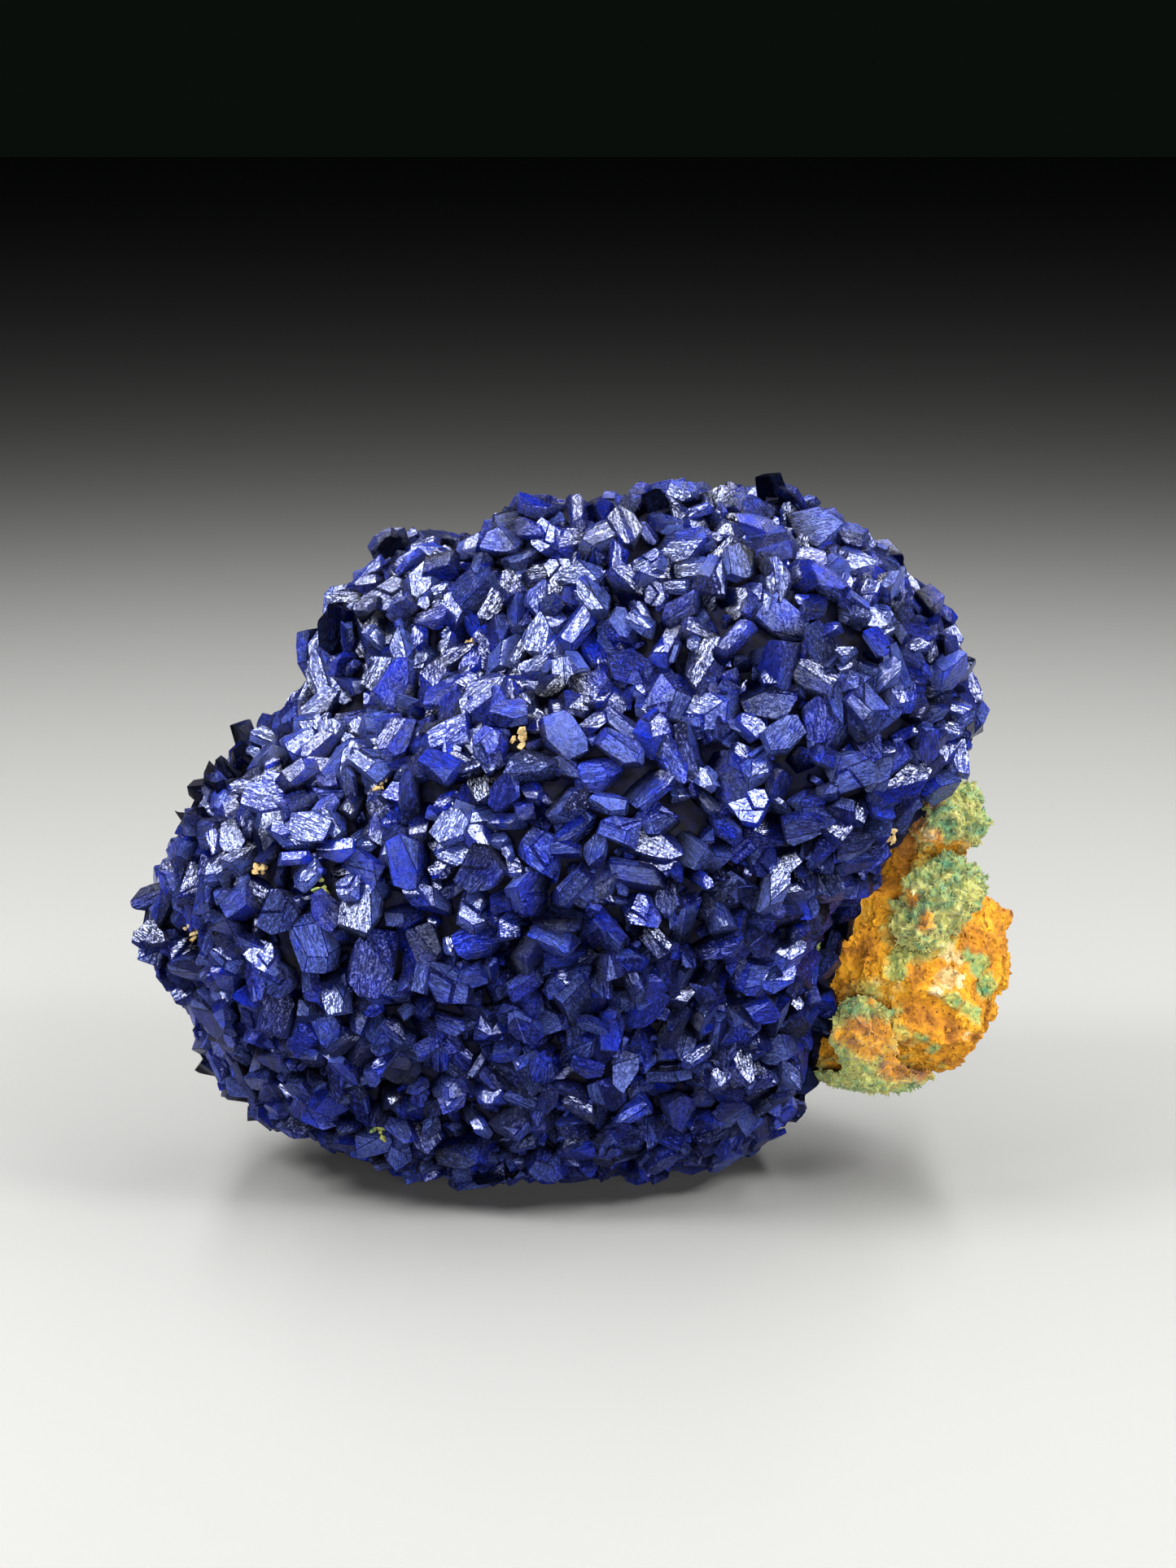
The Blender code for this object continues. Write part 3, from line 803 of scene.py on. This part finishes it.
# stains, each round a point of the front: pixel across and down, and radius in mm
stains = {
    "green": ((1103, 1147, 1.3), (1114, 1133, 1.0), (1103, 1174, 1.2), (1100, 1195, 1.1), (1207, 1188, 1.2),
              (1193, 1174, 0.9), (1214, 1212, 1.2), (1172, 1230, 1.1), (1190, 1240, 0.8), (1203, 1246, 1.0),
              (1131, 1278, 0.8), (1148, 1295, 0.9), (1155, 1316, 0.8), (1034, 1305, 1.2), (1069, 1330, 1.1),
              (1103, 1336, 1.1), (1131, 1336, 0.9)),
    "bare": ((1145, 1030, 1.2), (1179, 1040, 1.1), (1117, 1105, 1.0), (1138, 1133, 1.1), (1069, 1233, 0.7),
             (1034, 1226, 0.9), (1096, 1264, 0.9), (1117, 1009, 1.8), (1114, 1033, 1.4), (1145, 981, 1.2),
             (1069, 1278, 2.6), (1103, 1298, 2.6), (1041, 1271, 1.8), (1131, 1312, 1.6)),
    "rust": ((1140, 985, 1.2), (1120, 1009, 1.7), (1114, 1035, 1.5), (1117, 1112, 0.6), (1062, 1262, 0.9),
             (1110, 1285, 1.1), (1045, 1285, 0.9), (1085, 1312, 1.0), (1131, 1314, 0.9), (1162, 1309, 0.8),
             (1207, 1278, 1.0), (1215, 1120, 0.6)),
    "pale": ((1141, 1026, 0.7), (1186, 1021, 0.8), (1169, 1171, 1.0), (1183, 1178, 0.8), (1165, 1202, 1.0),
             (1186, 1205, 0.8), (1152, 1219, 0.8), (1190, 1273, 0.6)),
}


def roughenPoints(obj, steps, sink, share=1.0):  # sinks each point along its normal, and moves it by noise
    points = pointsOf(obj)
    moves = np.full(len(points), -sink)
    for step in steps:
        across, up = step["size"]
        scale = Vector((1 / across, 1 / across, 1 / up)) / mm
        found = np.array([noise.noise(v.co * scale) for v in obj.data.vertices]) * step["height"] * share * mm
        if "below" in step:
            found *= np.clip((step["below"] * mm - points[:, 2]) / stone["fade"], 0, 1)
        moves += found
    points += pointsOf(obj, "normal") * moves[:, None]
    points[:, 2] += stone["foot"]["undercut"] * np.clip(stone["foot"]["below"] - points[:, 2], 0, None)
    writePoints(obj, points)


def scatter(obj, shapes, bits, rng, keep):  # small things standing on a surface
    placed = []
    points, normals = placesOn([obj.data], rng, bits["count"])
    for point, normal in zip(points, normals):
        if not keep(point):
            continue
        up = Vector(normal)
        axes = leaningAxes(up, rng.uniform(0, math.radians(bits["lean"])), rng.uniform(0, math.tau),
                           rng.uniform(0, math.tau))
        length = rng.uniform(*bits["length"]) * mm
        placed.append({"shape": shapes[rng.integers(len(shapes))], "axes": axes, "length": length,
                       "centre": Vector(point) + up * length * bits["stand"], "tone": rng.random(3),
                       "offset": rng.uniform(0, patternSpread, 3), "foot": point, "up": normal})
    return placed


def coverWith(obj, placed, rng):  # joins small placed shapes to a surface
    tone = obj.data.attributes.new("tone", "FLOAT_VECTOR", "POINT")
    tone.data.foreach_set("vector", np.full(len(obj.data.vertices) * 3, 0.5))
    small = joinCrystals(obj.name + "Bits", placed, rng)
    makeActive(obj)
    small.select_set(True)
    bpy.ops.object.join()


def closeness(points, tree, reach):  # 1 on the tree's surface, 0 further off than reach
    return np.array([max(0.0, 1 - tree.find_nearest(Vector(p))[3] / reach) for p in points])


def stainPoints(obj, green):  # what the earth materials read, as shares from 0 to 1
    points = pointsOf(obj)
    shares = {label: np.zeros(len(points)) for label in stains} | {"green": green}
    for label, spots in stains.items():
        for x, y, radius in spots:
            hit = matrixTree.ray_cast(*throughPixel(x, y))[0]
            far = np.linalg.norm(points - np.array(hit), axis=1) / (radius * mm)
            np.maximum(shares[label], stone["stainCore"] - far, out=shares[label])
    shares["green"] = np.minimum(shares["green"], stone["bareLimit"] - shares.pop("bare"))
    for label, values in shares.items():
        writeShare(obj, label, values)


def modelLimonite(rng):
    obj = copyOfNode("limonite_matrix", "limoniteStone")
    applyModifier(obj, "REMESH", {"mode": "VOXEL", "voxel_size": stone["voxel"]})
    applyModifier(obj, "SMOOTH", {"iterations": stone["smooth"]})
    roughenPoints(obj, stone["rough"], stone["sink"])
    coverWith(obj, scatter(obj, shapes["small"], stone["grains"], rng,
                           lambda p: not p[0] / mm < atHeight("margin", p[2])), rng)
    crustTree = treeOf(*[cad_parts[node].data for node in crusts["nodes"]])
    stainPoints(obj, closeness(pointsOf(obj), crustTree, stone["greenReach"]))
    return obj


def modelTuft(rng):  # a spray of blunt needles, a unit long
    deselect()
    bpy.ops.mesh.primitive_cone_add(vertices=4, **crusts["upright"])
    obj = bpy.context.object
    bpy.ops.object.mode_set(mode="EDIT")
    needles = crusts["needles"]
    spread, foot = needles["spread"], Vector((0, 0, needles["foot"]))
    for _ in range(needles["count"]):
        lean = Vector((rng.uniform(-spread, spread), rng.uniform(-spread, spread), 1.0)).normalized()
        long = rng.uniform(*needles["length"])
        bpy.ops.mesh.primitive_cone_add(vertices=4, radius1=needles["radius1"], radius2=needles["radius2"],
                                        depth=long, location=lean * long * 0.5 - foot,
                                        rotation=lean.to_track_quat("Z", "Y").to_euler())
    return shapeFrom(obj)


def modelMalachite(node, tufts, rng):
    obj = copyOfNode(node, node.replace("malachite_", "malachiteCrust_"))
    applyModifier(obj, "REMESH", {"mode": "VOXEL", "voxel_size": crusts["voxel"]})
    applyModifier(obj, "SMOOTH", {"iterations": crusts["smooth"]})
    lumpy = crusts["nodes"][node]
    roughenPoints(obj, crusts["rough"], crusts["sink"] + crusts["flatSink"] * (1 - lumpy), lumpy)
    coverWith(obj, scatter(obj, tufts, crusts["tufts"], rng,
                           lambda p: limoniteTree.find_nearest(Vector(p))[3] > crusts["clear"]), rng)
    stainPoints(obj, crusts["greenest"] - closeness(pointsOf(obj), limoniteTree, crusts["ochreReach"]))
    return obj


# colours of the ochres and greens, from the hollows of a noise to its heights
earthColours = {
    "ochre": ((0.3, "#5c3208"), (0.4, "#86540a"), (0.48, "#a46c0c"), (0.58, "#b27e10"), (0.72, "#b6944e")),
    "rust": ((0.34, "#361a06"), (0.44, "#5e360a"), (0.52, "#7e4e12"), (0.62, "#966a22")),
    "pale": ((0.35, "#8e7042"), (0.5, "#b09664"), (0.6, "#c0ae8c")),
    "green": ((0.34, "#285440"), (0.42, "#4c744c"), (0.49, "#767e42"), (0.56, "#928e46"), (0.64, "#aca67a")),
}


def addEarth(material, tree, shader, depth):  # blotches 3 mm wide with rags of 0.9 mm, and pores 0.4 mm apart
    place = addNode(tree, "TexCoord").outputs["Object"]
    wide = addNode(tree, "TexNoise", {"Scale": 340.0, "Detail": 7.0, "Roughness": 0.62}, {"Vector": place})
    ragged = addNode(tree, "TexNoise", {"Scale": 1100.0, "Detail": 5.0, "Roughness": 0.7},
                     {"Vector": place})
    halved = addNode(tree, "Math", {"operation": "MULTIPLY", 1: 0.5}, {0: ragged})
    patchy = addNode(tree, "Math", {"operation": "MULTIPLY_ADD", 1: 0.5}, {0: wide, 2: halved})
    colour = addNode(tree, "ValToRGB", {"stops": earthColours["ochre"]}, {"Fac": wide})
    for label in ("rust", "pale", "green"):
        share = addNode(tree, "Attribute", {"attribute_name": label}).outputs["Fac"]
        both = addNode(tree, "Math", {"operation": "MULTIPLY_ADD", 1: 0.8}, {0: share, 2: ragged})
        spread = addNode(tree, "MapRange", {"From Min": 0.72, "From Max": 1.08}, {"Value": both})
        tint = addNode(tree, "ValToRGB", {"stops": earthColours[label]}, {"Fac": patchy})
        colour = addNode(tree, "MixRGB", None, {"Fac": spread, "Color1": colour, "Color2": tint})
    pores = addNode(tree, "TexNoise", {"Scale": 2400.0, "Detail": 4.0, "Roughness": 0.65},
                    {"Vector": place})
    # the pores' hollows in the bump are painted darker: painted shade
    dark = addNode(tree, "ValToRGB", {"stops": ((0.32, "#6a5442"), (0.43, "#ffffff"))}, {"Fac": pores})
    tone = addNode(tree, "Attribute", {"attribute_name": "tone"}).outputs["Vector"]
    tones = addNode(tree, "SeparateXYZ", None, {0: tone})
    lightness = addNode(tree, "MapRange", {"To Min": 0.62, "To Max": 1.1}, {"Value": tones.outputs["X"]})
    grained = addNode(tree, "MixRGB", {"blend_type": "MULTIPLY", "Fac": 1.0},
                      {"Color1": colour, "Color2": lightness})
    pored = addNode(tree, "MixRGB", {"blend_type": "MULTIPLY", "Fac": 1.0},
                    {"Color1": grained, "Color2": dark})
    bump = addNode(tree, "Bump", {"Strength": 1.0, "Distance": depth}, {"Height": pores})
    linkTo(tree, shader, {"Base Color": pored, "Normal": bump})
    shader.inputs["Roughness"].default_value = 0.85
    shader.inputs["Specular IOR Level"].default_value = 0.25
    return material


def limoniteMaterial():
    # Limonite, an earthy iron ore laid down by water: ochre and rust, dull and porous, stained green near
    # the malachite and with pale lumps.
    return addEarth(*startMaterial("limoniteOchre"), 0.25 * mm)


def malachiteMaterial():
    # Malachite, grown as a velvety crust of tiny needles: pale green with teal hollows and a faint sheen,
    # ochre where it thins out.
    material, tree, shader = startMaterial("malachiteVelvet")
    shader.inputs["Sheen Weight"].default_value = 0.2
    return addEarth(material, tree, shader, 0.2 * mm)


cameraObj = addCamera()
print("camera in place")

shapeRng = random.Random(crystalShapes["seed"])
habits = list(crystalShapes["habits"])
shapes = {habit: [modelCrystal(shapeRng, habit, True) for _ in range(crystalShapes["large"] // len(habits))]
          for habit in habits}
shapes["large"] = [shape for habit in habits for shape in shapes[habit]]
shapes["small"] = [modelCrystal(shapeRng, habits[i % len(habits)], False)
                   for i in range(crystalShapes["small"])]
print("crystal shapes modelled:", len(shapes["large"]) + len(shapes["small"]))

matrixTree = treeOf(*[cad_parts[node].data for node in ("limonite_matrix", *crusts["nodes"])])
ground = groundOfAzurite()
earthRng = np.random.default_rng(stone["seed"])
limoniteObj = modelLimonite(earthRng)
limoniteTree = treeOf(limoniteObj.data)
tuftRng = random.Random(crusts["seed"])
tuftShapes = [modelTuft(tuftRng) for _ in range(crusts["tuftKinds"])]
crustObjs = [modelMalachite(node, tuftShapes, earthRng) for node in crusts["nodes"]]
skirt = modelSkirt(limoniteObj)
print("limonite", len(limoniteObj.data.polygons), "malachite", [len(o.data.polygons) for o in crustObjs])

beds = [ground.data, skirt.data]
groundTree = treeOf(*beds)
grown = placeKnown()
speckObj = modelSpecks(shapes["small"])
grown += growCrystals(beds)
print("crystals:", len(grown))
azuriteBlue = azuriteMaterial()
finishRng = np.random.default_rng(druse["finishSeed"])
grown.sort(key=lambda c: c["centre"].x)
share = math.ceil(len(grown) / druse["pieces"])
for i in range(druse["pieces"]):
    piece = joinCrystals(f"azuriteCrystals_{i + 1}", grown[i * share:(i + 1) * share], finishRng)
    print(piece.name, sum(len(p.vertices) - 2 for p in piece.data.polygons), "triangles")
    finishPiece(piece, azuriteBlue, "azurite", "azurite_crystals")
shadedMass = groundMaterial()
finishPiece(ground, shadedMass, "azurite", "azurite_crystals")
finishPiece(skirt, shadedMass, "azurite", "azurite_crystals")

ochre = limoniteMaterial()
finishPiece(limoniteObj, ochre, "limonite", "limonite_matrix")
finishPiece(speckObj, ochre, "limonite")
green = malachiteMaterial()
for node, obj in zip(crusts["nodes"], crustObjs):
    finishPiece(obj, green, "malachite", node)
print("pieces finished")

buildStage()
